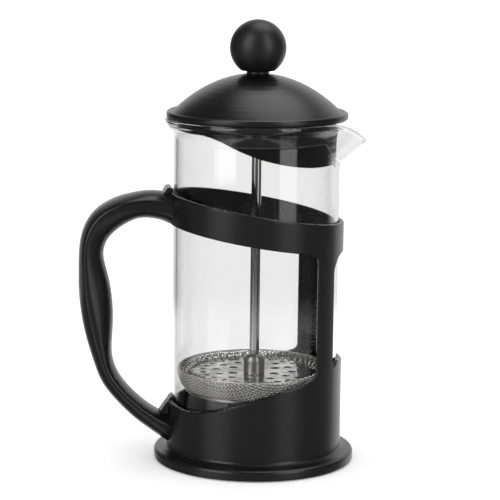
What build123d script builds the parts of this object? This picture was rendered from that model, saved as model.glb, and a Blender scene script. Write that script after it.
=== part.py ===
from build123d import *
import math
import os

os.makedirs("parts", exist_ok=True)

# ---------------------------------------------------------------- driving dimensions (mm)
# Frame: +Z up, origin at the centre of the foot, +X towards the pouring spout, -X towards the handle.

# moulded frame
FOOT_R = 42.7            # foot flange radius
FOOT_H = 4.7             # flange height at its bead
CUP_R = 37.2             # outside radius of cup, struts and band
FRAME_IN_R = 35.3        # inside radius of cup, struts and band
FLOOR_TOP = 5.6          # face the beaker stands on
FLOOR_T = 2.2
BAND_TOP_0, BAND_TOP_SLOPE = 109.0, 0.168      # band edges are planes: z = z0 - slope * x
BAND_BOT_0, BAND_BOT_SLOPE = 96.2, 0.160
STRUT_X0 = CUP_R * math.cos(math.radians(52))  # strut edge on the handle side
STRUT_X1 = CUP_R * math.cos(math.radians(34))  # strut edge on the spout side

# beaker
GLASS_R = 35.0
GLASS_T = 1.5
GLASS_BOT = 5.8
GLASS_BOT_T = 2.4
GLASS_TOP = 145.9
LIP_R = 38.6             # rolled lip radius
SPOUT_TIP_X = 46.0
SPOUT_TIP_Z = 137.4

# lid
LID_R = 38.22
LID_Z0, LID_Z1 = 146.0, 149.1
LID_T = 1.9
DOME_Z, DOME_A, DOME_B = 164.92, 0.011527, 9.3e-7   # outside of dome: z = Z - A r^2 - B r^4
SKIRT_R = 33.1
SKIRT_T = 1.5

# knob and rod
KNOB_R = 11.83
KNOB_Z = 175.55
KNOB_FLAT_Z = 166.1
ROD_R = 2.08
ROD_CLEAR = 0.06
BUSH_TOP = 166.0
BUSH_R = 4.78

# filter stack
DISC_Z0, DISC_Z1 = 37.0, 37.6
DISC_R = 28.9
COIL_R = 28.7            # radius of the coil's centre line
COIL_r = 1.7             # mean radius of one turn
WIRE_r = 0.4
COIL_N = 52              # turns round the edge
MESH_T = 0.4
MESH_TOP_R, MESH_TOP_Z = 32.9, 39.8
MESH_BOT_Z = 30.9        # underside of the basket's flat
PLATE_R = 29.4           # rim of the cross plate under the basket

# handle screws
SCREW_Z_UP, SCREW_Z_LOW = 108.6, 13.4


def rev(points):
    """Full revolution about Z of a closed polygon given as (r, z)."""
    f = make_face(Polyline(*[(r, 0, z) for r, z in points], close=True))
    return revolve(f, Axis.Z, 360)


def xz_prism(wire_edges, half_y):
    f = Pos(0, half_y, 0) * make_face(wire_edges)
    return extrude(f, amount=2 * half_y, dir=(0, -1, 0))


def xz_poly(points, half_y):
    return xz_prism(Polyline(*[(x, 0, z) for x, z in points], close=True), half_y)


def cyl(r, z0, z1, x=0.0, y=0.0):
    return Pos(x, y, (z0 + z1) / 2) * Cylinder(r, z1 - z0)


def xcyl(r, x0, x1, z, y=0.0):
    return Pos((x0 + x1) / 2, y, z) * Rot(0, 90, 0) * Cylinder(r, abs(x1 - x0))


def band_top(x):
    return BAND_TOP_0 - BAND_TOP_SLOPE * x


def band_bot(x):
    return BAND_BOT_0 - BAND_BOT_SLOPE * x


def save(solid, node):
    solid.label = node
    export_step(solid, f"parts/{node}.step")
    return solid


# ================================================================ frame
foot = rev([(0, FLOOR_TOP - FLOOR_T), (37.6, FLOOR_TOP - FLOOR_T), (37.6, 0.0), (41.9, 0.0),
            (42.45, 0.25), (42.7, 0.8), (42.7, 3.3), (42.45, 4.05), (41.9, 4.5), (41.2, 4.68),
            (40.3, 4.72), (38.6, 5.15), (37.9, 5.45), (37.45, 5.9), (37.2, 6.6),
            (FRAME_IN_R, 6.6), (FRAME_IN_R, FLOOR_TOP), (0, FLOOR_TOP)])
foot_ribs = [Rot(0, 0, 60 * i) * Pos(20.8, 0, 2.35) * Box(33.8, 1.6, 2.3) for i in range(6)]
foot_hub = rev([(3.2, 1.2), (7.0, 1.2), (7.0, 3.6), (3.2, 3.6)])
shell = rev([(FRAME_IN_R, 6.0), (CUP_R, 6.0), (CUP_R, 122.0), (FRAME_IN_R, 122.0)])

# everything above the cup and outside the band, cut through along Y
XL, XR = -60.0, 60.0
above_band = xz_poly([(XL, band_top(XL)), (XR, band_top(XR)), (XR, 140), (XL, 140)], 60)

# handle-side window: band underside, strut edge, sloping cup rim
rim_pts = [(-37.6, 25.9), (-33.7, 25.2), (-31.2, 24.9), (-28.5, 25.3), (-22.9, 26.7), (-17.5, 28.1),
           (-12.1, 30.0), (-6.5, 31.9), (-0.65, 33.7), (5.2, 35.3), (11.2, 37.0), (16.6, 38.5), (19.6, 39.6),
           (STRUT_X0, 41.2)]
win_a = Polyline((XL, 0, rim_pts[0][1]), (rim_pts[0][0], 0, rim_pts[0][1])) \
    + Spline(*[(x, 0, z) for x, z in rim_pts], tangents=[(1, 0, -0.1), (0.92, 0, 0.4)]) \
    + Polyline((rim_pts[-1][0], 0, rim_pts[-1][1]), (STRUT_X0, 0, band_bot(STRUT_X0)), (XL, 0, band_bot(XL)), (XL, 0, rim_pts[0][1]))
window_a = xz_prism(win_a, 60)
corner_top = [e for e in window_a.edges() if abs(e.center().X - STRUT_X0) < 0.01 and abs(e.center().Z - band_bot(STRUT_X0)) < 0.01 and e.length > 100]
window_a = fillet(corner_top, 3.9)
corner_low = [e for e in window_a.edges() if abs(e.center().X - STRUT_X0) < 0.01 and abs(e.center().Z - rim_pts[-1][1]) < 0.01 and e.length > 100]
window_a = fillet(corner_low, 3.4)

# spout-side window between the two struts
zt = band_bot(STRUT_X1)
win_b = Spline((STRUT_X1, 0, zt - 8.5), (STRUT_X1 + 0.9, 0, zt - 4.2), (STRUT_X1 + 3.2, 0, zt - 1.2), (37.4, 0, band_bot(37.4)),
               tangents=[(0, 0, 1), (1, 0, 0.1)]) \
    + Polyline((37.4, 0, band_bot(37.4)), (XR, 0, band_bot(XR)), (XR, 0, 43.3), (37.4, 0, 43.3)) \
    + Spline((37.4, 0, 43.3), (34.6, 0, 44.3), (33.2, 0, 45.3), (32.1, 0, 44.2), (31.2, 0, 43.0), (STRUT_X1, 0, 45.6),
             tangents=[(-1, 0, 0.1), (0, 0, 1)]) \
    + Line((STRUT_X1, 0, 45.6), (STRUT_X1, 0, zt - 8.5))
window_b = xz_prism(win_b, 60)

frame = shell - above_band - window_a - window_b


# soften the moulding's edges
def on_radius(e, r, tol=0.02):
    return all(abs(math.hypot((e @ t).X, (e @ t).Y) - r) < tol for t in (0.02, 0.25, 0.5, 0.75, 0.98))


def seam(e):
    return abs((e @ 0.5).X - math.hypot((e @ 0.5).X, (e @ 0.5).Y)) < 0.01 and abs((e @ 0.1).X - (e @ 0.9).X) < 0.01


def is_top(e):
    return abs((e @ 0.3).Z - band_top((e @ 0.3).X)) < 0.05


def try_fillet(body, pick, size, name):
    edges = [e for e in body.edges() if pick(e)]
    try:
        out = fillet(edges, size)
        print("fillet", name, len(edges), "ok")
        return out
    except Exception:
        print("fillet", name, len(edges), "failed")
        return body


frame = try_fillet(frame, lambda e: on_radius(e, CUP_R) and is_top(e), 0.6, "band rim outside")
frame = try_fillet(frame, lambda e: on_radius(e, FRAME_IN_R) and is_top(e), 0.4, "band rim inside")
frame = try_fillet(frame, lambda e: on_radius(e, CUP_R) and e.center().X > 30.0 and (e @ 0.5).Z > 7 and (e @ 0.5).Z < 100 and not seam(e), 0.5, "spout window outside")
frame = try_fillet(frame, lambda e: on_radius(e, CUP_R) and (e @ 0.5).X < 24.0 and 10 < (e @ 0.5).Z < 108 and not is_top(e), 0.5, "handle window outside")
frame = frame + foot
for rib in foot_ribs:
    frame = frame + rib
frame = frame + foot_hub

# handle seat: pointed lug on the cup
lug = xz_poly([(-35.5, 27.1), (-35.95, 27.1), (-37.1, 25.4), (-38.3, 24.0), (-40.4, 20.9), (-41.2, 19.5), (-41.2, 17.6), (-35.5, 17.6)], 3.4)
frame = frame + lug
frame = frame - cyl(FRAME_IN_R, FLOOR_TOP, 130)

# countersunk holes for the handle screws
for z in (SCREW_Z_UP, SCREW_Z_LOW):
    frame = frame - xcyl(1.7, -39.0, -34.0, z)
    frame = frame - (Pos(-36.15, 0, z) * Rot(0, -90, 0) * Cone(2.95, 1.7, 1.9))
save(frame.solids()[0] if len(frame.solids()) == 1 else frame, "frame")

# ================================================================ handle
# stations along the handle, from the band to the cup: outer point, inner point (x, z), half width,
# the flank's ridge as a fraction of the thickness measured from the outer point, and how crisp the
# ridge is on its outer and inner side (0 round, 1 crisp)
stations = [
    ((-33.5, 115.05), (-33.5, 99.0), 11.3, 0.38, 0.1, 0.0), ((-37.8, 115.15), (-38.0, 102.1), 11.1, 0.38, 0.1, 0.0), ((-42.0, 115.50), (-42.0, 103.5), 10.9, 0.38, 0.1, 0.0),
    ((-47.2, 115.45), (-46.6, 104.1), 10.7, 0.36, 0.15, 0.0), ((-52.9, 114.45), (-50.3, 103.7), 10.5, 0.30, 0.25, 0.0), ((-59.0, 112.70), (-54.2, 102.1), 10.3, 0.24, 0.35, 0.0),
    ((-64.7, 109.80), (-58.2, 99.5), 10.1, 0.20, 0.4, 0.0), ((-69.3, 105.75), (-61.4, 96.6), 10.0, 0.175, 0.45, 0.0), ((-72.5, 100.50), (-63.45, 93.4), 10.0, 0.17, 0.45, 0.0),
    ((-74.3, 94.05), (-64.35, 89.8), 10.0, 0.175, 0.45, 0.0), ((-74.9, 86.00), (-63.95, 85.4), 10.0, 0.19, 0.45, 0.0), ((-74.95, 78.50), (-62.3, 79.0), 10.1, 0.20, 0.45, 0.0),
    ((-74.7, 70.80), (-60.95, 71.4), 10.2, 0.23, 0.35, 0.0), ((-73.85, 63.50), (-60.4, 64.6), 10.2, 0.29, 0.25, 0.0), ((-72.4, 55.85), (-60.4, 57.8), 10.1, 0.37, 0.1, 0.1),
    ((-70.3, 48.00), (-60.8, 50.8), 9.9, 0.45, 0.05, 0.2), ((-67.7, 39.90), (-60.35, 43.7), 9.7, 0.53, 0.0, 0.4), ((-64.0, 31.95), (-58.0, 37.5), 9.6, 0.61, 0.0, 0.5),
    ((-58.8, 25.40), (-53.7, 31.6), 9.5, 0.68, 0.0, 0.6), ((-52.7, 19.15), (-47.8, 25.8), 9.4, 0.73, 0.0, 0.65), ((-46.4, 14.05), (-42.8, 22.0), 9.4, 0.75, 0.0, 0.7),
    ((-40.5, 9.75), (-38.9, 20.3), 9.3, 0.72, 0.0, 0.7), ((-33.5, 5.60), (-33.5, 19.6), 9.2, 0.69, 0.0, 0.7)]


def handle_section(o, i, w, f, ko, ki):
    o, i = Vector(o[0], 0, o[1]), Vector(i[0], 0, i[1])
    h = (o - i).length
    n = (o - i).normalized()

    def face(b, k):
        return (1 - k) * (1 - math.sqrt(max(0.0, 1 - b * b))) + k * b * b
    # half profile from the outer crown over the ridge to the inner edge: (fraction of thickness, fraction of width)
    half = [(f * face(b, ko), b) for b in (0.0, 0.45, 0.76, 0.93)] + [(f, 0.995)] \
        + [(1 - (1 - f) * face(b, ki), b) for b in (0.94, 0.78, 0.46, 0.0)]
    pts = [o - n * (h * a) + Vector(0, w * b, 0) for a, b in half]
    pts += [o - n * (h * a) - Vector(0, w * b, 0) for a, b in half[-2:0:-1]]
    return make_face(Spline(*pts, periodic=True))


handle = loft([handle_section(*s) for s in stations])
print("handle loft volume", round(handle.volume), "valid", handle.is_valid)
# saddle faces against band and cup, pocket round the lug
handle = handle - cyl(CUP_R + 0.05, -5, 130)
handle = handle - xz_poly([(-30, 40), (-36.2, 40), (-36.3, 27.4), (-37.3, 25.5), (-38.45, 24.15), (-40.55, 21.0), (-41.35, 19.6), (-41.35, 17.45), (-30, 17.45)], 3.55)
# hook that laps over the band's rim
handle = handle + xz_poly([(-39.4, 113.6), (-37.6, 113.6), (-37.5, 115.45), (-35.8, 115.15), (-35.6, 115.35), (-35.6, 116.35), (-35.75, 116.8), (-36.1, 117.15),
                                 (-36.6, 117.35), (-37.3, 117.4), (-37.9, 117.2), (-38.35, 116.8), (-38.7, 116.2), (-39.4, 115.0)], 5.2)
for z, depth in ((SCREW_Z_UP, 7.5), (SCREW_Z_LOW, 5.4)):
    handle = handle - xcyl(2.2, -37.0, -37.25 - depth, z)
handle = max(handle.solids(), key=lambda s: s.volume)
save(handle, "handle")


def csk_screw(x_head, z, length):
    """M3 countersunk screw pointing to -X."""
    head = Pos(x_head - 0.85, 0, z) * Rot(0, -90, 0) * Cone(2.8, 1.45, 1.7)
    shank = xcyl(1.45, x_head - 1.0, x_head - length, z)
    s = head + shank
    s = s - (Pos(x_head, 0, z) * Box(1.2, 0.9, 3.4)) - (Pos(x_head, 0, z) * Box(1.2, 3.4, 0.9))
    return s


save(csk_screw(-35.42, SCREW_Z_UP, 9.0), "upper_handle_screw")
save(csk_screw(-35.42, SCREW_Z_LOW, 7.0), "lower_handle_screw")


def insert(x0, length, z):
    body = xcyl(2.2, x0, x0 - length, z) - xcyl(1.45, x0 + 1, x0 - length - 1, z)
    groove = xcyl(2.4, x0 - length / 2 + 0.4, x0 - length / 2 - 0.4, z) - xcyl(2.0, x0 + 1, x0 - length - 1, z)
    return body - groove


save(insert(-37.5, 6.0, SCREW_Z_UP), "upper_handle_insert")
save(insert(-37.5, 4.6, SCREW_Z_LOW), "lower_handle_insert")

# ================================================================ beaker
# profile of the straight wall, rounded bottom edge and rolled lip
def arc_pts(cx, cz, r, a0, a1, n):
    return [(cx + r * math.cos(math.radians(a0 + (a1 - a0) * i / n)), cz + r * math.sin(math.radians(a0 + (a1 - a0) * i / n)))
            for i in range(n + 1)]


RB = 7.0
g_out = [(0, GLASS_BOT)] + arc_pts(GLASS_R - RB, GLASS_BOT + RB, RB, -90, 0, 8) \
    + [(35.0, 133.5), (35.15, 136.5), (35.6, 139.2), (36.4, 141.4), (37.4, 143.0), (38.3, 144.0), (38.6, 144.7), (38.55, 145.3), (38.2, 145.75), (37.7, GLASS_TOP)]
ri = GLASS_R - GLASS_T
g_in = [(0, GLASS_BOT + GLASS_BOT_T)] + arc_pts(ri - RB + 1.6, GLASS_BOT + GLASS_BOT_T + RB - 1.6, RB - 1.6, -90, 0, 8) \
    + [(ri, 134.0), (33.7, 137.0), (34.2, 139.8), (35.05, 142.1), (36.05, 143.6), (36.7, 144.7), (37.05, 145.5), (37.3, GLASS_TOP), (37.3, 150.0), (0, 150.0)]
outer_body = rev(g_out + [(0, GLASS_TOP)])
cavity = rev(g_in)


def nose_section(z, off):
    """Wedge between the tangent lines of the round wall and the nose of the spout, at height z.
    off is 0 for the outside of the glass and the wall thickness for the inside."""
    R = GLASS_R - off
    tip = 35.5 + (z - 127.4) * 1.157 - off * 1.5
    rho = min(max(1.2, 1.2 + (z - 127.0) * 0.42), 9.0) - off * 0.5
    rho = max(rho, 0.6)
    d = tip - rho
    c = (R - rho) / d
    c = min(c, 0.9995)
    b = math.acos(c)
    p1 = (R * math.cos(b) - 0.02, R * math.sin(b))
    p2 = (d + rho * math.cos(b), rho * math.sin(b))
    inner_x = p1[0] - 4.0
    w = Polyline((inner_x, -p1[1], z), (p1[0], -p1[1], z), (p2[0], -p2[1], z)) \
        + ThreePointArc((p2[0], -p2[1], z), (tip, 0, z), (p2[0], p2[1], z)) \
        + Polyline((p2[0], p2[1], z), (p1[0], p1[1], z), (inner_x, p1[1], z), (inner_x, -p1[1], z))
    return make_face(w)


def spout_solid(off):
    z0 = 127.2 + off * 0.9
    zs = [z0, 130.0 + off * 0.6, 133.5, 137.0, 141.0, 148.0]
    return loft([nose_section(z, off) for z in zs], ruled=True)


spout_out = spout_solid(0.0)
spout_in = spout_solid(GLASS_T)
rim_s0, rim_st = 25.5, SPOUT_TIP_X - 0.6
cut = [(rim_s0 + (rim_st - rim_s0) * t, GLASS_TOP + 0.05 - (GLASS_TOP + 0.05 - SPOUT_TIP_Z) * t ** 2.2) for t in [i / 10 for i in range(11)]]
cut_wire = Polyline((rim_s0, 0, 155), (rim_s0, 0, cut[0][1])) + Spline(*[(x, 0, z) for x, z in cut], tangents=[(1, 0, 0), (0.75, 0, -0.66)]) \
    + Polyline((cut[-1][0], 0, cut[-1][1]), (cut[-1][0] + 8, 0, cut[-1][1] - 6.5), (70, 0, 130), (70, 0, 155), (rim_s0, 0, 155))
rim_cut = xz_prism(cut_wire, 45)
beaker = (outer_body + (spout_out & cyl(60, 120, GLASS_TOP))) - cavity - spout_in - rim_cut
beaker = max(beaker.solids(), key=lambda s: s.volume)
save(beaker, "beaker")

# ================================================================ lid
def dome(r, drop=0.0):
    return DOME_Z - DOME_A * r * r - DOME_B * r ** 4 - drop


BUSH_SHANK_R = 4.2
top_pts = [(r, dome(r)) for r in (BUSH_SHANK_R + 0.05, 6, 9, 12, 15, 18, 21, 24, 27, 30, 32, 34, 35.2, 35.9)]
cover_pts = top_pts + [(36.2, 148.75), (36.6, 148.95), (37.3, LID_Z1), (37.9, 148.75), (38.15, 148.2), (LID_R, 147.4), (38.1, 146.6), (37.7, 146.15), (37.1, LID_Z0),
                       (31.4, LID_Z0), (31.4, 146.9), (33.9, 148.0)] \
    + [(r, dome(r, LID_T)) for r in (32, 30, 27, 24, 21, 18, 15, 12, 9, 6.8)] \
    + [(6.8, 158.5), (BUSH_SHANK_R + 0.05, 158.5)]
lid_cover = rev(cover_pts)
save(lid_cover.solids()[0], "lid_cover")

# strainer ring: collar under the lid, slanted skirt with one degree of draft, deep at the spout side, slotted there
ring = rev([(SKIRT_R - SKIRT_T - 0.2, 127.0), (SKIRT_R - 0.25, 127.0), (SKIRT_R, 141.9), (34.0, 142.2), (34.0, 143.0), (33.3, 143.4), (33.3, 145.95),
            (31.36, 145.95), (31.36, 147.6), (30.2, 147.6), (30.2, 143.5), (SKIRT_R - SKIRT_T, 142.3)])
skirt_edge = [(-40.0, 141.9), (-31.8, 141.9), (-27.0, 142.1), (-24.2, 141.9), (-21.0, 141.0), (-18.2, 139.8), (-14.3, 137.75), (-10.4, 135.8), (-6.4, 134.2),
              (-3.2, 133.0), (1.75, 131.6), (6.0, 130.6), (10.2, 129.75), (14.5, 129.05), (19.0, 128.5), (23.8, 128.25), (29.0, 128.2), (40.0, 128.2)]
sk_wire = Spline(*[(x, 0, z) for x, z in skirt_edge]) + Polyline((40.0, 0, 128.2), (40.0, 0, 120.0), (-40.0, 0, 120.0), (-40.0, 0, 141.9))
ring = ring - xz_prism(sk_wire, 40)
slots = []
for i in range(29):
    a = -56 + 4.0 * i
    for z in (131.0, 134.1, 137.2, 140.3):
        if abs(a) > 46 and z < 132:
            continue
        slots.append(Rot(0, 0, a) * Pos(SKIRT_R - SKIRT_T / 2, 0, z) * Box(4.0, 1.3, 2.2))
ring = ring - slots
save(max(ring.solids(), key=lambda s: s.volume), "lid_strainer")

# guide bushing in the crown of the lid
bore = ROD_R + ROD_CLEAR
bush = rev([(bore, 157.0), (5.9, 157.0), (5.9, 158.4), (BUSH_SHANK_R, 158.4), (BUSH_SHANK_R, dome(4.6) + 0.12), (BUSH_R, dome(4.9) + 0.12),
            (BUSH_R, BUSH_TOP - 0.3), (BUSH_R - 0.3, BUSH_TOP), (bore, BUSH_TOP)])
save(bush.solids()[0], "lid_bushing")

# ================================================================ plunger: knob, insert, rod
ball = Pos(0, 0, KNOB_Z) * Sphere(KNOB_R)
knob = ball - (Pos(0, 0, KNOB_FLAT_Z - 15) * Box(60, 60, 30))
knob = knob - cyl(3.0, KNOB_FLAT_Z - 1, 177.0)
save(knob.solids()[0], "knob")
knob_insert = rev([(ROD_R, KNOB_FLAT_Z + 0.4), (3.0, KNOB_FLAT_Z + 0.4), (3.0, 170.2), (2.7, 170.5), (2.7, 171.3), (3.0, 171.6), (3.0, 176.4), (0, 176.4), (0, 175.0), (ROD_R, 175.0)])
save(knob_insert.solids()[0], "knob_insert")
ROD_BOT = 30.6
rod = cyl(ROD_R, ROD_BOT + 0.5, 174.8)
rod = rod + (Pos(0, 0, ROD_BOT + 0.25) * Cone(ROD_R - 0.5, ROD_R, 0.5))
save(rod.solids()[0], "plunger_rod")

# ================================================================ filter stack
hub = rev([(ROD_R, DISC_Z1), (4.5, DISC_Z1), (4.5, 42.0)] + arc_pts(1.2, 42.0, 3.3, 0, 75, 8)[1:] + [(ROD_R, 45.3)])
save(hub.solids()[0], "filter_hub")

disc = cyl(DISC_R, DISC_Z0, DISC_Z1) - cyl(ROD_R, DISC_Z0 - 1, DISC_Z1 + 1)
holes = []
for r, count, phase, hr in ((10.2, 6, 22, 2.0), (16.2, 12, 19, 1.7), (22.0, 24, 4, 1.3)):
    for k in range(count):
        a = math.radians(phase + 360 / count * k)
        holes.append(cyl(hr, DISC_Z0 - 1, DISC_Z1 + 1, r * math.cos(a), r * math.sin(a)))
holes += [cyl(0.85, DISC_Z0 - 1, DISC_Z1 + 1, (COIL_R - COIL_r) * math.cos(2 * math.pi * k / COIL_N), (COIL_R - COIL_r) * math.sin(2 * math.pi * k / COIL_N)) for k in range(COIL_N)]
disc = disc - holes
save(disc.solids()[0], "spring_disc")

# edge spring: each turn passes down through the edge hole and up outside the disc's rim
turn = Rot(90, 0, 0) * Torus(COIL_r, WIRE_r)
turns = [Rot(0, 0, 360 * k / COIL_N) * Pos(COIL_R, 0, (DISC_Z0 + DISC_Z1) / 2) * turn for k in range(COIL_N)]
save(Compound(children=[t for t in turns]), "edge_spring")


# woven basket: clamped on a raised centre, flat annulus, side that bulges out to the glass
c0, c1 = 5.6, 10.4
mesh_out = [(c1, MESH_BOT_Z), (27.6, MESH_BOT_Z), (28.9, 31.28), (29.75, 32.08), (30.35, 33.0), (31.1, 34.26), (31.8, 35.6), (32.35, 36.95), (32.7, 38.3), (MESH_TOP_R, MESH_TOP_Z)]
mesh_in = [(MESH_TOP_R - MESH_T, MESH_TOP_Z), (32.3, 38.34), (31.95, 37.03), (31.4, 35.73), (30.7, 34.38), (29.98, 33.17), (29.4, 32.29), (28.65, 31.57), (27.5, MESH_BOT_Z + MESH_T),
           (c1 + 0.2, MESH_BOT_Z + MESH_T), (c0 + 0.3, DISC_Z0), (ROD_R + 0.3, DISC_Z0), (ROD_R + 0.3, DISC_Z0 - MESH_T), (c0, DISC_Z0 - MESH_T)]
mesh = rev(mesh_out + mesh_in)
save(mesh.solids()[0], "mesh_screen")

# cross plate: pressed hat with a flat rim and four large openings
p_top = DISC_Z0 - MESH_T
cross = rev([(ROD_R + 0.06, p_top), (c0 - 0.15, p_top), (c1 - 0.25, MESH_BOT_Z), (PLATE_R, MESH_BOT_Z), (PLATE_R, MESH_BOT_Z - 0.9), (c1 - 0.7, MESH_BOT_Z - 0.9),
             (c0 - 0.75, p_top - 0.9), (ROD_R + 0.06, p_top - 0.9)])
for k in range(4):
    a = 45 + 90 * k
    sector = cyl(26.2, 20, 35.0) - cyl(12.6, 19, 36.0)
    keep = [Rot(0, 0, a + s * 37) * Pos(20, 0, 27) * Box(60, 0.01, 20) for s in (-1, 1)]
    wedge = Polyline((0, 0, 20), (60 * math.cos(math.radians(a - 35)), 60 * math.sin(math.radians(a - 35)), 20),
                     (60 * math.cos(math.radians(a + 35)), 60 * math.sin(math.radians(a + 35)), 20), (0, 0, 20))
    w = extrude(make_face(wedge), amount=15, dir=(0, 0, 1))
    cross = cross - (sector & w)
save(cross.solids()[0], "cross_plate")

# nut that clamps the stack on the threaded end of the rod
nut = extrude(Pos(0, 0, 32.0) * RegularPolygon(4.0, 6), amount=p_top - 0.9 - 32.0) - cyl(ROD_R, 31, 36)
save(nut.solids()[0], "clamp_nut")

print("frame solids", len(frame.solids()), "handle", len(handle.solids()))
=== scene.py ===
import bpy
import math
import numpy as np
from mathutils import Matrix, Vector


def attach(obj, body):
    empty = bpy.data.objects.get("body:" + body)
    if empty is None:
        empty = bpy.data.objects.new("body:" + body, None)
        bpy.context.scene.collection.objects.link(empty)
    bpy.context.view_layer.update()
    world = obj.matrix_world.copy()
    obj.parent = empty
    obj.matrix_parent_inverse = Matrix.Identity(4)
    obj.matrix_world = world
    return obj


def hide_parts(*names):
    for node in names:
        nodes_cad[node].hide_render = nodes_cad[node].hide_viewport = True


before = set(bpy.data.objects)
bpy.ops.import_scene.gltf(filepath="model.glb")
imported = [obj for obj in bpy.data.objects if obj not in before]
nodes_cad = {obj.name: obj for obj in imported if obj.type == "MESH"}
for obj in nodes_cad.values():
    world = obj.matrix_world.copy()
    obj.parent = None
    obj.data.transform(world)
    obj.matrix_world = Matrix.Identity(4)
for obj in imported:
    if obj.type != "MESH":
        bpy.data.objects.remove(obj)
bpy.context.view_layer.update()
MM = 0.001


# ---------------------------------------------------------------- node helpers
class Graph:
    """A small helper that wires shader nodes by expressions."""

    def __init__(self, tree):
        self.t = tree

    def new(self, kind, **props):
        n = self.t.nodes.new(kind)
        for k, v in props.items():
            setattr(n, k, v)
        return n

    def put(self, socket, value):
        if isinstance(value, bpy.types.NodeSocket):
            self.t.links.new(value, socket)
        elif value is not None:
            socket.default_value = value

    def math(self, op, a, b=None, c=None, clamp=False):
        n = self.new("ShaderNodeMath", operation=op, use_clamp=clamp)
        self.put(n.inputs[0], a)
        self.put(n.inputs[1], b)
        if c is not None:
            self.put(n.inputs[2], c)
        return n.outputs[0]

    def vmath(self, op, a, b=None, scale=None):
        n = self.new("ShaderNodeVectorMath", operation=op)
        self.put(n.inputs[0], a)
        if b is not None:
            self.put(n.inputs[1], b)
        if scale is not None:
            self.put(n.inputs["Scale"], scale)
        return n.outputs["Value"] if op in ("LENGTH", "DOT_PRODUCT", "DISTANCE") else n.outputs["Vector"]

    def ramp(self, x, x0, x1, y0=0.0, y1=1.0, smooth=True):
        n = self.new("ShaderNodeMapRange", interpolation_type="SMOOTHSTEP" if smooth else "LINEAR")
        n.clamp = True
        self.put(n.inputs["Value"], x)
        self.put(n.inputs["From Min"], x0)
        self.put(n.inputs["From Max"], x1)
        self.put(n.inputs["To Min"], y0)
        self.put(n.inputs["To Max"], y1)
        return n.outputs["Result"]

    def noise(self, vec, scale, detail=2.0, rough=0.5, w=None):
        n = self.new("ShaderNodeTexNoise")
        self.put(n.inputs["Vector"], vec)
        n.inputs["Scale"].default_value = scale
        n.inputs["Detail"].default_value = detail
        n.inputs["Roughness"].default_value = rough
        return n.outputs["Fac"]

    def object_xyz(self):
        c = self.new("ShaderNodeTexCoord").outputs["Object"]
        s = self.new("ShaderNodeSeparateXYZ")
        self.put(s.inputs[0], c)
        return c, s.outputs[0], s.outputs[1], s.outputs[2]

    def combine(self, x, y, z):
        n = self.new("ShaderNodeCombineXYZ")
        self.put(n.inputs[0], x)
        self.put(n.inputs[1], y)
        self.put(n.inputs[2], z)
        return n.outputs[0]

    def grey(self, v, tint=(1.0, 1.0, 1.0)):
        return self.combine(self.math("MULTIPLY", v, tint[0]), self.math("MULTIPLY", v, tint[1]), self.math("MULTIPLY", v, tint[2]))

    def bump(self, height, distance, strength=1.0, normal=None):
        n = self.new("ShaderNodeBump")
        n.inputs["Strength"].default_value = strength
        n.inputs["Distance"].default_value = distance
        self.put(n.inputs["Height"], height)
        if normal is not None:
            self.put(n.inputs["Normal"], normal)
        return n.outputs["Normal"]


def material(name):
    m = bpy.data.materials.new(name)
    m.use_nodes = True
    t = m.node_tree
    for n in list(t.nodes):
        t.nodes.remove(n)
    g = Graph(t)
    out = g.new("ShaderNodeOutputMaterial")
    p = g.new("ShaderNodeBsdfPrincipled")
    t.links.new(p.outputs["BSDF"], out.inputs["Surface"])
    return m, g, p, out


def plastic(name, base, rough, spread=0.05, spec=0.5, grain=0.0, grain_scale=2600.0, streak=0.0, seam=None, bevel=0.0):
    """Moulded black plastic: slow colour and gloss drift, fine eroded grain, faint flow streaks, optional parting seam."""
    m, g, p, _ = material(name)
    c, x, y, z = g.object_xyz()
    slow = g.noise(c, 38.0, 3.0)
    fine = g.noise(c, 900.0, 2.0)
    lum = g.math("MULTIPLY", g.math("ADD", 0.86, g.math("MULTIPLY", slow, 0.28)), base)
    p.inputs["Specular IOR Level"].default_value = spec
    r = g.math("ADD", g.math("ADD", rough - spread * 0.5, g.math("MULTIPLY", slow, spread)), g.math("MULTIPLY", g.math("SUBTRACT", fine, 0.5), 0.05))
    if streak:
        s = g.noise(g.combine(g.math("MULTIPLY", x, 30.0), g.math("MULTIPLY", y, 30.0), g.math("MULTIPLY", z, 900.0)), 1.0, 2.0)
        r = g.math("ADD", r, g.math("MULTIPLY", g.math("SUBTRACT", s, 0.5), streak))
    normal = None
    if bevel:
        b = g.new("ShaderNodeBevel", samples=4)
        b.inputs["Radius"].default_value = bevel
        normal = b.outputs["Normal"]
    if grain:
        h = g.noise(c, grain_scale, 3.0, 0.6)
        normal = g.bump(h, 0.00003, grain, normal)
    if seam is not None:
        # a hair line where the two mould halves met
        line = g.math("SUBTRACT", 1.0, g.ramp(g.math("ABSOLUTE", y), 0.00006, 0.00022))
        out_r = g.ramp(g.math("ABSOLUTE", x), seam, seam + 0.0004)
        line = g.math("MULTIPLY", line, out_r)
        normal = g.bump(line, 0.00018, -1.0, normal)
        lum = g.math("MULTIPLY", lum, g.math("SUBTRACT", 1.0, g.math("MULTIPLY", line, 0.7)))
    g.put(p.inputs["Base Color"], g.grey(lum, (1.0, 1.0, 1.02)))
    g.put(p.inputs["Roughness"], r)
    if normal is not None:
        g.put(p.inputs["Normal"], normal)
    return m


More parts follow.
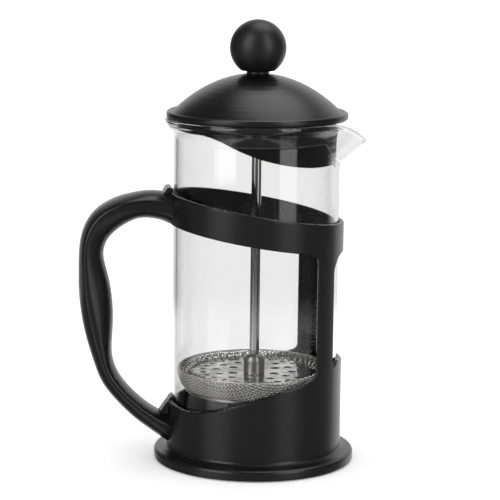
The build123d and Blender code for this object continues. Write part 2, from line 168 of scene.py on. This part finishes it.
def steel(name, base=0.62, rough=0.12, tint=(1.0, 0.985, 0.96), brush=0.0, axis="z", spread=0.06, bump=0.0, metal=1.0, painted_reflection_mottle=0.0):
    """Stainless steel: drawn or turned micro lines, slow tarnish drift, optional painted reflection and shadow patches
    in the colour.
    """
    m, g, p, _ = material(name)
    c, x, y, z = g.object_xyz()
    slow = g.noise(c, 120.0, 3.0)
    fine = g.noise(c, 4200.0, 2.0)
    p.inputs["Metallic"].default_value = metal
    if axis == "z":
        v = g.combine(g.math("MULTIPLY", x, 6000.0), g.math("MULTIPLY", y, 6000.0), g.math("MULTIPLY", z, 60.0))
    else:
        rr = g.math("SQRT", g.math("ADD", g.math("MULTIPLY", x, x), g.math("MULTIPLY", y, y)))
        v = g.combine(g.math("MULTIPLY", rr, 6000.0), g.math("MULTIPLY", z, 300.0), 0.0)
    lines = g.noise(v, 1.0, 2.0)
    r = g.math("ADD", rough - spread * 0.5, g.math("MULTIPLY", slow, spread))
    r = g.math("ADD", r, g.math("MULTIPLY", g.math("SUBTRACT", lines, 0.5), brush))
    lum = g.math("MULTIPLY", base, g.math("ADD", 0.94, g.math("MULTIPLY", g.math("ADD", slow, g.math("MULTIPLY", fine, 0.3)), 0.1)))
    if painted_reflection_mottle:
        # painted reflection: lighter and darker patches in the colour stand in for the reflections and shadows on the
        # polished sheet, and the bump gives the slight waviness of thin sheet
        painted_reflection_patch = g.noise(c, 150.0, 2.0)
        lum = g.math("MULTIPLY", lum, g.ramp(painted_reflection_patch, 0.40, 0.58, 1.0 - painted_reflection_mottle, 1.0 + 0.5 * painted_reflection_mottle))
        g.put(p.inputs["Normal"], g.bump(g.noise(c, 110.0, 1.0), 0.0012, 0.35))
    g.put(p.inputs["Base Color"], g.grey(lum, tint))
    g.put(p.inputs["Roughness"], r)
    if bump:
        g.put(p.inputs["Normal"], g.bump(lines, 0.00001, bump))
    return m


M_FRAME = plastic("moulded_frame_black", 0.0068, 0.28, spread=0.06, spec=0.42, grain=0.25, streak=0.05, seam=0.0376)
M_HANDLE = plastic("moulded_handle_black", 0.0068, 0.25, spread=0.05, spec=0.48, grain=0.06)
M_LID = plastic("moulded_lid_black", 0.0042, 0.29, spread=0.05, spec=0.5, grain=0.25, grain_scale=3200.0)
M_KNOB = plastic("moulded_knob_black", 0.0066, 0.40, spread=0.05, spec=0.5, grain=0.35, grain_scale=3600.0)
M_STRAINER = plastic("moulded_strainer_black", 0.0045, 0.10, spread=0.04, spec=0.5, grain=0.04, bevel=0.00012)
M_BUSH = plastic("moulded_bushing_black", 0.0070, 0.35, spread=0.05, spec=0.5, grain=0.2)
M_ROD = steel("rod_bright_steel", 0.63, 0.10, brush=0.05, axis="z", spread=0.04)
M_HUB = steel("hub_bright_steel", 0.42, 0.30, brush=0.05, axis="r", spread=0.05)
# the disc's colour carries painted reflection and shadow patches
M_DISC = steel("disc_polished_steel", 0.46, 0.12, brush=0.08, axis="r", spread=0.10, painted_reflection_mottle=0.5)
M_PLATE = steel("plate_pressed_steel", 0.55, 0.22, brush=0.08, axis="r", spread=0.10)
M_CLOTH = steel("woven_wire_steel", 0.97, 0.24, brush=0.05, axis="z", spread=0.08, metal=0.45)
M_WEFT = steel("weft_wire_steel", 0.42, 0.26, brush=0.05, axis="z", spread=0.08, metal=0.75)
M_SPRING = steel("spring_wire_steel", 0.66, 0.14, brush=0.04, axis="z", spread=0.06)
M_SCREW = steel("screw_zinc_steel", 0.55, 0.26, brush=0.10, axis="r", spread=0.1)
M_BRASS = steel("insert_knurled_brass", 0.72, 0.28, tint=(1.0, 0.80, 0.42), brush=0.10, axis="z", spread=0.1)


def glass(name):
    m, g, p, _ = material(name)
    c, x, y, z = g.object_xyz()
    smear = g.ramp(g.noise(c, 55.0, 4.0, 0.6), 0.52, 0.72)
    wave = g.noise(g.combine(g.math("MULTIPLY", x, 60.0), g.math("MULTIPLY", y, 60.0), g.math("MULTIPLY", z, 9.0)), 1.0, 1.0)
    p.inputs["Transmission Weight"].default_value = 1.0
    p.inputs["IOR"].default_value = 1.474
    g.put(p.inputs["Base Color"], g.grey(g.math("SUBTRACT", 0.862, g.math("MULTIPLY", smear, 0.006)), (1.0, 1.0, 1.0)))
    g.put(p.inputs["Roughness"], g.math("MULTIPLY", smear, 0.012))
    g.put(p.inputs["Normal"], g.bump(wave, 0.00004, 0.6))
    return m


M_GLASS = glass("borosilicate_glass")

for node, mat in (("frame", M_FRAME), ("handle", M_HANDLE), ("lid_cover", M_LID), ("lid_strainer", M_STRAINER), ("lid_bushing", M_BUSH),
                  ("knob", M_KNOB), ("knob_insert", M_BRASS), ("plunger_rod", M_ROD), ("filter_hub", M_HUB), ("spring_disc", M_DISC),
                  ("cross_plate", M_PLATE), ("clamp_nut", M_SCREW), ("edge_spring", M_SPRING), ("beaker", M_GLASS),
                  ("upper_handle_screw", M_SCREW), ("lower_handle_screw", M_SCREW), ("upper_handle_insert", M_BRASS), ("lower_handle_insert", M_BRASS)):
    o = nodes_cad[node]
    o.data.materials.clear()
    o.data.materials.append(mat)


# ---------------------------------------------------------------- mesh helpers
def mesh_object(name, verts, faces, mat, smooth=True, uv=None):
    me = bpy.data.meshes.new(name)
    me.from_pydata([tuple(v) for v in verts], [], [tuple(f) for f in faces])
    if uv is not None:
        layer = me.uv_layers.new(name="cloth")
        idx = np.empty(len(me.loops), int)
        me.loops.foreach_get("vertex_index", idx)
        layer.data.foreach_set("uv", np.asarray(uv, float)[idx].ravel())
    me.validate()
    if smooth:
        me.polygons.foreach_set("use_smooth", [True] * len(me.polygons))
    me.materials.append(mat)
    me.update()
    ob = bpy.data.objects.new(name, me)
    bpy.context.scene.collection.objects.link(ob)
    return ob


def grid_faces(nu, nv, offset=0, closed_u=True, flip=False):
    """Quads of a grid with index u * nv + v."""
    u = np.arange(nu if closed_u else nu - 1)
    v = np.arange(nv - 1)
    U, V = np.meshgrid(u, v, indexing="ij")
    U2 = (U + 1) % nu
    q = np.stack([U * nv + V, U2 * nv + V, U2 * nv + V + 1, U * nv + V + 1], -1).reshape(-1, 4) + offset
    return q[:, ::-1] if flip else q


# ---------------------------------------------------------------- beaker: blown round body, rolled lip, drawn spout
R_OUT, T = 35.0, 1.5
Z_FLARE, Z_TOP = 127.0, 145.9


def join(fl, hull, p=2.5):
    """Wall radius from the lip's roll and the spout's hull, blended where both stand out."""
    dl = np.clip(hull - R_OUT, 0.0, None)
    return R_OUT + (np.clip(fl, 0.0, None) ** p + dl ** p) ** (1.0 / p)


def nose(theta, z):
    """Polar radius of the hull of the wall circle and the nose circle at height z."""
    R = R_OUT
    tip = 35.5 + (z - 127.4) * 1.157
    rho = np.clip(1.6 + (z - 127.0) * 0.42, 1.6, 9.0)
    d = np.maximum(tip - rho, 0.5)
    c = np.clip((R - rho) / d, -1.0, 0.99995)
    b = np.arccos(c)
    a = np.abs(theta)
    t2 = np.arctan2(rho * np.sin(b), d + rho * np.cos(b))
    arc = d * np.cos(a) + np.sqrt(np.clip(rho * rho - (d * np.sin(a)) ** 2, 0.0, None))
    line = R / np.cos(np.clip(a - b, -1.4, 1.4))
    r = np.where(a < t2, arc, np.where(a < b, line, R))
    return np.where(tip > R + 0.02, r, R)


def flare(depth):
    """Outward roll of the lip as a function of the depth below the rim."""
    x = np.array([-1.0, 0.0, 0.5, 1.0, 1.9, 2.9, 4.5, 6.2, 7.9, 9.0, 10.5, 40.0])
    y = np.array([3.05, 3.3, 3.45, 3.5, 3.2, 2.45, 1.22, 0.36, 0.05, 0.004, 0.0, 0.0])
    # monotone cubic through the points, so that the wall has no kinks
    m = np.zeros(len(x))
    d_ = np.diff(y) / np.diff(x)
    same = d_[:-1] * d_[1:] > 0
    m[1:-1][same] = 2 * d_[:-1][same] * d_[1:][same] / (d_[:-1][same] + d_[1:][same])
    q = np.clip(depth, x[0], x[-1])
    k = np.clip(np.searchsorted(x, q, side="right") - 1, 0, len(x) - 2)
    h_ = x[k + 1] - x[k]
    t = (q - x[k]) / h_
    return (2 * t ** 3 - 3 * t ** 2 + 1) * y[k] + (t ** 3 - 2 * t ** 2 + t) * h_ * m[k] + (-2 * t ** 3 + 3 * t ** 2) * y[k + 1] + (t ** 3 - t ** 2) * h_ * m[k + 1]


def rim_height(x):
    t = np.clip((x - 25.5) / (45.4 - 25.5), 0.0, 1.3)
    return Z_TOP - 7.6 * t ** 2.2


th = np.concatenate([np.linspace(-58, 58, 186), np.linspace(58, 302, 166)[1:-1]])
th = np.radians(th)
NT = len(th)
NS = 64
s = np.linspace(0, 1, NS) ** 0.85
zr = np.full(NT, Z_TOP)
for _ in range(40):
    # the outer rim radius at the present rim height
    rr = join(3.3 - 2.4 * np.exp(-(((th + np.pi) % (2 * np.pi) - np.pi) / 0.30) ** 2), nose((th + np.pi) % (2 * np.pi) - np.pi, zr - 0.4))
    zr = 0.6 * zr + 0.4 * rim_height(rr * np.cos(th))
TH, S = np.meshgrid(th, s, indexing="ij")
ZR = np.repeat(zr[:, None], NS, 1)
ZM = Z_FLARE + S * (ZR - 0.5 * T - Z_FLARE)
THW = (TH + np.pi) % (2 * np.pi) - np.pi
fl = flare(ZR - ZM) * (1 - 0.75 * np.exp(-(THW / 0.33) ** 2))
hull = nose(THW, ZM)
# ease the creases of the hull along and across the wall
for _ in range(10):
    a = hull.copy()
    a[:, 1:-1] = 0.25 * hull[:, :-2] + 0.5 * hull[:, 1:-1] + 0.25 * hull[:, 2:]
    hull = 0.25 * np.roll(a, 1, 0) + 0.5 * a + 0.25 * np.roll(a, -1, 0)
hull = np.where(hull < R_OUT + 1e-4, R_OUT, hull)
RM = join(fl, hull) - 0.5 * T
mid = np.stack([RM * np.cos(TH), RM * np.sin(TH), ZM], -1)


def grid_normals(P):
    du = np.roll(P, -1, 0) - np.roll(P, 1, 0)
    dv = np.empty_like(P)
    dv[:, 1:-1] = P[:, 2:] - P[:, :-2]
    dv[:, 0] = P[:, 1] - P[:, 0]
    dv[:, -1] = P[:, -1] - P[:, -2]
    n = np.cross(du, dv)
    return n / np.linalg.norm(n, axis=-1, keepdims=True), dv / np.linalg.norm(dv, axis=-1, keepdims=True)


nrm, tan_v = grid_normals(mid)
nrm[:, 0] = np.stack([np.cos(th), np.sin(th), np.zeros(NT)], -1)
bead = T * 0.5 * (1 + 0.22 * np.clip((S - 0.93) / 0.07, 0, 1) ** 2)
outer_up = mid + nrm * bead[..., None]
inner_up = mid - nrm * bead[..., None]
NC = 11
ang = np.linspace(0, math.pi, NC)[1:-1]
cap = np.stack([mid[:, -1] + nrm[:, -1] * (bead[:, -1] * math.cos(a))[:, None] + tan_v[:, -1] * (bead[:, -1] * math.sin(a))[:, None] for a in ang], 1)


def arc(cx, cz, r, a0, a1, n):
    return [(cx + r * math.cos(math.radians(a0 + (a1 - a0) * i / n)), cz + r * math.sin(math.radians(a0 + (a1 - a0) * i / n))) for i in range(n + 1)]


low_out = [(r, 5.8) for r in (0.6, 6, 12, 18, 23, 26)] + arc(28.0, 12.8, 7.0, -90, 0, 14) + [(35.0, z) for z in np.linspace(16, 124, 28)]
low_in = [(33.5, z) for z in np.linspace(124, 16.5, 28)] + arc(28.1, 13.6, 5.4, 0, -90, 12) + [(r, 8.2) for r in (25.5, 22, 17, 11, 6, 0.6)]


def revolve_cols(profile):
    p = np.array(profile, float)
    return np.stack([p[None, :, 0] * np.cos(th)[:, None], p[None, :, 0] * np.sin(th)[:, None], np.repeat(p[None, :, 1], NT, 0)], -1)


cols = np.concatenate([revolve_cols(low_out), outer_up, cap, inner_up[:, ::-1], revolve_cols(low_in)], 1)
NV = cols.shape[1]
gv = np.concatenate([cols.reshape(-1, 3), [[0, 0, 5.8], [0, 0, 8.2]]])
gf = [tuple(q) for q in grid_faces(NT, NV)]
c0, c1 = NT * NV, NT * NV + 1
gf += [(c0, ((j + 1) % NT) * NV, j * NV) for j in range(NT)]
gf += [(c1, j * NV + NV - 1, ((j + 1) % NT) * NV + NV - 1) for j in range(NT)]
beaker = mesh_object("beaker_glass_body", gv * MM, gf, M_GLASS)
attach(beaker, "beaker")
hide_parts("beaker")


# ---------------------------------------------------------------- edge spring: one wire wound round the disc's rim
def tube(points, radius, sides, closed=True):
    """A tube along a closed line, with a frame carried along it."""
    P = np.asarray(points, float)
    n = len(P)
    t = np.roll(P, -1, 0) - np.roll(P, 1, 0)
    t /= np.linalg.norm(t, axis=1, keepdims=True)
    # reference direction: away from the coil's own centre line
    ref = np.cross(t, np.roll(t, -1, 0) - np.roll(t, 1, 0))
    ref /= np.linalg.norm(ref, axis=1, keepdims=True)
    b = np.cross(t, ref)
    a = np.linspace(0, 2 * math.pi, sides, endpoint=False)
    ring = P[:, None] + radius * (np.cos(a)[None, :, None] * ref[:, None] + np.sin(a)[None, :, None] * b[:, None])
    faces = []
    for i in range(n):
        j = (i + 1) % n
        for k in range(sides):
            l = (k + 1) % sides
            faces.append((i * sides + k, i * sides + l, j * sides + l, j * sides + k))
    return ring.reshape(-1, 3), faces


TURNS, COIL_R, COIL_r, WIRE_r, COIL_Z = 52, 28.7, 1.70, 0.36, 37.35
NP = TURNS * 26
phi = np.linspace(0, 2 * math.pi, NP, endpoint=False)
psi = math.pi - TURNS * phi
line = np.stack([(COIL_R + COIL_r * np.cos(psi)) * np.cos(phi), (COIL_R + COIL_r * np.cos(psi)) * np.sin(phi), COIL_Z + COIL_r * np.sin(psi)], -1)
cv, cf = tube(line, WIRE_r, 10)
coil = mesh_object("edge_spring_wire", cv * MM, cf, M_SPRING)
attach(coil, "plunger")
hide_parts("edge_spring")


# ---------------------------------------------------------------- woven basket: plain weave of round wires, drawn over the basket's form
PITCH, STRAND_r, WAVE = 1.20, 0.20, 0.15
prof = np.array([(2.6, 36.8), (5.5, 36.8), (5.9, 36.45), (10.2, 31.4), (10.7, 31.1), (27.4, 31.1), (29.0, 31.3), (30.0, 31.9), (30.75, 32.9),
                 (31.4, 34.2), (31.9, 35.6), (32.25, 36.95), (32.5, 38.27), (32.62, 39.45)], float)
# place along the flat cloth: the radius up to the foot of the side, then the length up the side
rho_p = np.concatenate([prof[:6, 0], 27.4 + np.cumsum(np.hypot(*np.diff(prof[5:], axis=0).T))])
RHO0, RHO1 = 2.7, rho_p[-1]
fine_rho = np.linspace(rho_p[0], rho_p[-1], 900)
fine_r, fine_z = np.interp(fine_rho, rho_p, prof[:, 0]), np.interp(fine_rho, rho_p, prof[:, 1])
for _ in range(25):
    fine_r[1:-1] = 0.25 * fine_r[:-2] + 0.5 * fine_r[1:-1] + 0.25 * fine_r[2:]
    fine_z[1:-1] = 0.25 * fine_z[:-2] + 0.5 * fine_z[1:-1] + 0.25 * fine_z[2:]
slope_r, slope_z = np.gradient(fine_r), np.gradient(fine_z)
sl = np.hypot(slope_r, slope_z)
norm_r, norm_z = slope_z / sl, -slope_r / sl


def strand(P, N, radius, sides, base):
    """A closed-ended tube along an open line; N is the cloth's normal at each point."""
    t = np.gradient(P, axis=0)
    t /= np.linalg.norm(t, axis=1, keepdims=True)
    side = np.cross(t, N)
    side /= np.linalg.norm(side, axis=1, keepdims=True)
    up = np.cross(side, t)
    a = np.linspace(0, 2 * math.pi, sides, endpoint=False)
    ring = P[:, None] + radius * (np.cos(a)[None, :, None] * up[:, None] + np.sin(a)[None, :, None] * side[:, None])
    n = len(P)
    i, k = np.meshgrid(np.arange(n - 1), np.arange(sides), indexing="ij")
    l = (k + 1) % sides
    q = np.stack([i * sides + k, (i + 1) * sides + k, (i + 1) * sides + l, i * sides + l], -1).reshape(-1, 4) + base
    caps = [tuple(base + k for k in range(sides)), tuple(base + (n - 1) * sides + k for k in reversed(range(sides)))]
    return ring.reshape(-1, 3), [tuple(f) for f in q] + caps


def cloth_point(a, b, lift):
    rho = np.hypot(a, b)
    tt = np.arctan2(b, a) + math.radians(-168)
    r, z = np.interp(rho, fine_rho, fine_r), np.interp(rho, fine_rho, fine_z)
    nr, nz = np.interp(rho, fine_rho, norm_r), np.interp(rho, fine_rho, norm_z)
    lift = lift * np.clip((rho - 5.8) / 1.5, 0.0, 1.0)
    r2, z2 = r + nr * lift, z + nz * lift
    return np.stack([r2 * np.cos(tt), r2 * np.sin(tt), z2], -1), np.stack([nr * np.cos(tt), nr * np.sin(tt), nz], -1)


wv, wf, count = [], [], 0
half_n = int(RHO1 / PITCH)
family_end = []
for fam in (0, 1):
    for k in range(-half_n - 1, half_n + 1):
        off = (k + 0.5) * PITCH
        if abs(off) >= RHO1 - 0.3:
            continue
        reach = math.sqrt(RHO1 ** 2 - off ** 2)
        inner = math.sqrt(RHO0 ** 2 - off ** 2) if abs(off) < RHO0 else 0.0
        runs = [(-reach, -inner), (inner, reach)] if inner else [(-reach, reach)]
        for s0, s1 in runs:
            m_ = max(3, int((s1 - s0) / 0.40))
            q = np.linspace(s0, s1, m_)
            lift = WAVE * np.sin(math.pi * q / PITCH) * (-1) ** k
            if fam == 0:
                P, N = cloth_point(q, np.full(m_, off), lift)
            else:
                P, N = cloth_point(np.full(m_, off), q, -lift)
            v_, f_ = strand(P, N, STRAND_r * (1.3, 1.0)[fam], 5, count)
            wv.append(v_)
            wf += f_
            count += len(v_)
    family_end.append(len(wf))
# folded hem round the rim
hem = 0.26
tb = np.linspace(0, 2 * math.pi, 200, endpoint=False)
ring_line = np.stack([32.62 * np.cos(tb), 32.62 * np.sin(tb), np.full(200, 39.5)], -1)
hv, hf = tube(ring_line, hem, 10)
wv.append(hv)
wf += [tuple(i + count for i in f) for f in hf]
basket = mesh_object("woven_basket", np.concatenate(wv) * MM, wf, M_CLOTH)
# the weft is a duller wire than the warp
basket.data.materials.append(M_WEFT)
which = np.zeros(len(basket.data.polygons), int)
which[family_end[0]:family_end[1]] = 1
basket.data.polygons.foreach_set("material_index", which)
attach(basket, "plunger")
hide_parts("mesh_screen")


# ---------------------------------------------------------------- floor
def floor():
    n = 48
    pts, faces = [(0.0, 0.0, 0.0)], []
    radii = [0.15 * 1.28 ** i for i in range(18)]
    for r in radii:
        pts += [(r * math.cos(2 * math.pi * k / n), r * math.sin(2 * math.pi * k / n), 0.0) for k in range(n)]
    faces += [(0, 1 + k, 1 + (k + 1) % n) for k in range(n)]
    for i in range(len(radii) - 1):
        a, b = 1 + i * n, 1 + (i + 1) * n
        faces += [(a + k, b + k, b + (k + 1) % n, a + (k + 1) % n) for k in range(n)]
    m = bpy.data.materials.new("studio_floor")
    m.use_nodes = True
    t = m.node_tree
    for nd in list(t.nodes):
        t.nodes.remove(nd)
    g = Graph(t)
    out = g.new("ShaderNodeOutputMaterial")
    d = g.new("ShaderNodeBsdfDiffuse")
    d.inputs["Color"].default_value = (0.93, 0.93, 0.93, 1)
    tr = g.new("ShaderNodeBsdfTransparent")
    lp = g.new("ShaderNodeLightPath")
    mix = g.new("ShaderNodeMixShader")
    t.links.new(g.math("GREATER_THAN", lp.outputs["Glossy Depth"], 0.5), mix.inputs[0])
    e_ = g.new("ShaderNodeEmission")
    e_.inputs["Strength"].default_value = 0.16
    sum_ = g.new("ShaderNodeAddShader")
    t.links.new(d.outputs[0], sum_.inputs[0])
    t.links.new(e_.outputs[0], sum_.inputs[1])
    t.links.new(sum_.outputs[0], mix.inputs[1])
    t.links.new(tr.outputs[0], mix.inputs[2])
    t.links.new(mix.outputs[0], out.inputs["Surface"])
    ob = mesh_object("studio_floor", pts, faces, m, smooth=False)
    ob.location.z = -0.0002
    return ob


fl_ob = floor()


# ---------------------------------------------------------------- studio light
world = bpy.data.worlds.new("studio")
bpy.context.scene.world = world
world.use_nodes = True
wt = world.node_tree
for n in list(wt.nodes):
    wt.nodes.remove(n)
g = Graph(wt)
w_out = g.new("ShaderNodeOutputWorld")
bg = g.new("ShaderNodeBackground")
wt.links.new(bg.outputs[0], w_out.inputs[0])
d = g.vmath("NORMALIZE", g.new("ShaderNodeTexCoord").outputs["Generated"])
sx = g.new("ShaderNodeSeparateXYZ")
g.put(sx.inputs[0], d)
dx, dy, dz = sx.outputs
az = g.math("MULTIPLY", g.math("ARCTAN2", dx, g.math("MULTIPLY", dy, -1.0)), 180 / math.pi)
el = g.math("MULTIPLY", g.math("ARCSINE", g.math("MAXIMUM", -1.0, g.math("MINIMUM", 1.0, dz))), 180 / math.pi)


def span(v, lo, hi, soft):
    return g.math("MULTIPLY", g.ramp(v, lo - soft, lo + soft), g.ramp(v, hi - soft, hi + soft, 1.0, 0.0))


def ang_from(centre):
    """Signed azimuth distance in degrees, wrapped."""
    a = g.math("SUBTRACT", az, centre)
    return g.math("SUBTRACT", g.math("FLOORED_MODULO", g.math("ADD", a, 180.0), 360.0), 180.0)


CAM_AZ = -6.45
rel = ang_from(CAM_AZ)
turned = g.math("ABSOLUTE", rel)
from_back = g.math("ABSOLUTE", ang_from(CAM_AZ + 167))


def add(*terms):
    t_ = terms[0]
    for q_ in terms[1:]:
        t_ = g.math("ADD", t_, q_)
    return t_


def mul(*terms):
    t_ = terms[0]
    for q_ in terms[1:]:
        t_ = g.math("MULTIPLY", t_, q_)
    return t_


left_box = mul(span(rel, -61, -28, 1.0), span(el, -8.1, 55, 0.25))
right_box = mul(span(rel, 32.5, 57.5, 1.0), span(el, -9.2, 55, 0.25))
front = mul(span(rel, -40, 40, 12.0), g.ramp(el, -8.0, -2.0), g.ramp(el, 26.0, 2.0))
back = mul(g.ramp(from_back, 50.0, 31.0), g.ramp(el, 52.0, 24.0), g.ramp(el, -60.0, -40.0))
c_az, c_el = math.radians(CAM_AZ + 140), math.radians(73)
top = g.ramp(g.vmath("DOT_PRODUCT", d, (math.sin(c_az) * math.cos(c_el), -math.cos(c_az) * math.cos(c_el), math.sin(c_el))), math.cos(math.radians(32)), math.cos(math.radians(8)))
# the lit floor ahead of the object, brighter under the two boxes, and its shaded part close by
far_floor = mul(g.ramp(el, -11.0, -12.0), g.ramp(el, -14.6, -13.2), g.ramp(turned, 62.0, 74.0, 1.0, 0.6))
near_floor = g.ramp(el, -12.6, -14.6)
under_left = span(rel, -70, -36, 2.0)
under_right = span(rel, 33, 56, 4.0)
env = add(0.08, mul(left_box, g.ramp(el, -2.0, 12.0, 1.4, 2.7)), mul(right_box, g.ramp(el, -2.0, 12.0, 1.4, 2.9)), mul(front, 0.22), mul(back, 0.85), mul(top, 2.4),
          mul(far_floor, add(0.72, mul(under_left, 0.5))),
          mul(near_floor, g.ramp(turned, 58.0, 72.0, 1.0, 0.2), add(0.14, mul(under_left, 0.60), mul(under_right, 0.42))))
lp = g.new("ShaderNodeLightPath")
sel = g.math("GREATER_THAN", lp.outputs["Glossy Depth"], 0.5)
strength = g.math("ADD", g.math("MULTIPLY", sel, env), g.math("MULTIPLY", g.math("SUBTRACT", 1.0, sel), 1.20))
bg.inputs["Color"].default_value = (1, 1, 1, 1)
g.put(bg.inputs["Strength"], strength)
world.cycles.sampling_method = "NONE"

# ---------------------------------------------------------------- camera
EL, AZ, ROLL = math.radians(9.9023), math.radians(-6.3), math.radians(0.7223)
back_v = Vector((math.sin(AZ) * math.cos(EL), -math.cos(AZ) * math.cos(EL), math.sin(EL)))
right_v = Vector((math.cos(AZ), math.sin(AZ), 0))
up_v = back_v.cross(right_v)
R2 = math.cos(ROLL) * right_v + math.sin(ROLL) * up_v
U2 = -math.sin(ROLL) * right_v + math.cos(ROLL) * up_v
C = right_v * (-2.372 * MM) + Vector((0, 0, 89.776 * MM)) + back_v * (922.381 * MM)
cam = bpy.data.cameras.new("camera")
cam.sensor_width = 36.0
cam.lens = 2174.927 / 500 * 36.0
cam.clip_start, cam.clip_end = 0.01, 50.0
cam_ob = bpy.data.objects.new("camera", cam)
bpy.context.scene.collection.objects.link(cam_ob)
rot = Matrix(((R2.x, U2.x, back_v.x), (R2.y, U2.y, back_v.y), (R2.z, U2.z, back_v.z)))
cam_ob.matrix_world = Matrix.Translation(C) @ rot.to_4x4()
bpy.context.scene.camera = cam_ob
bpy.context.scene.view_settings.view_transform = "Standard"
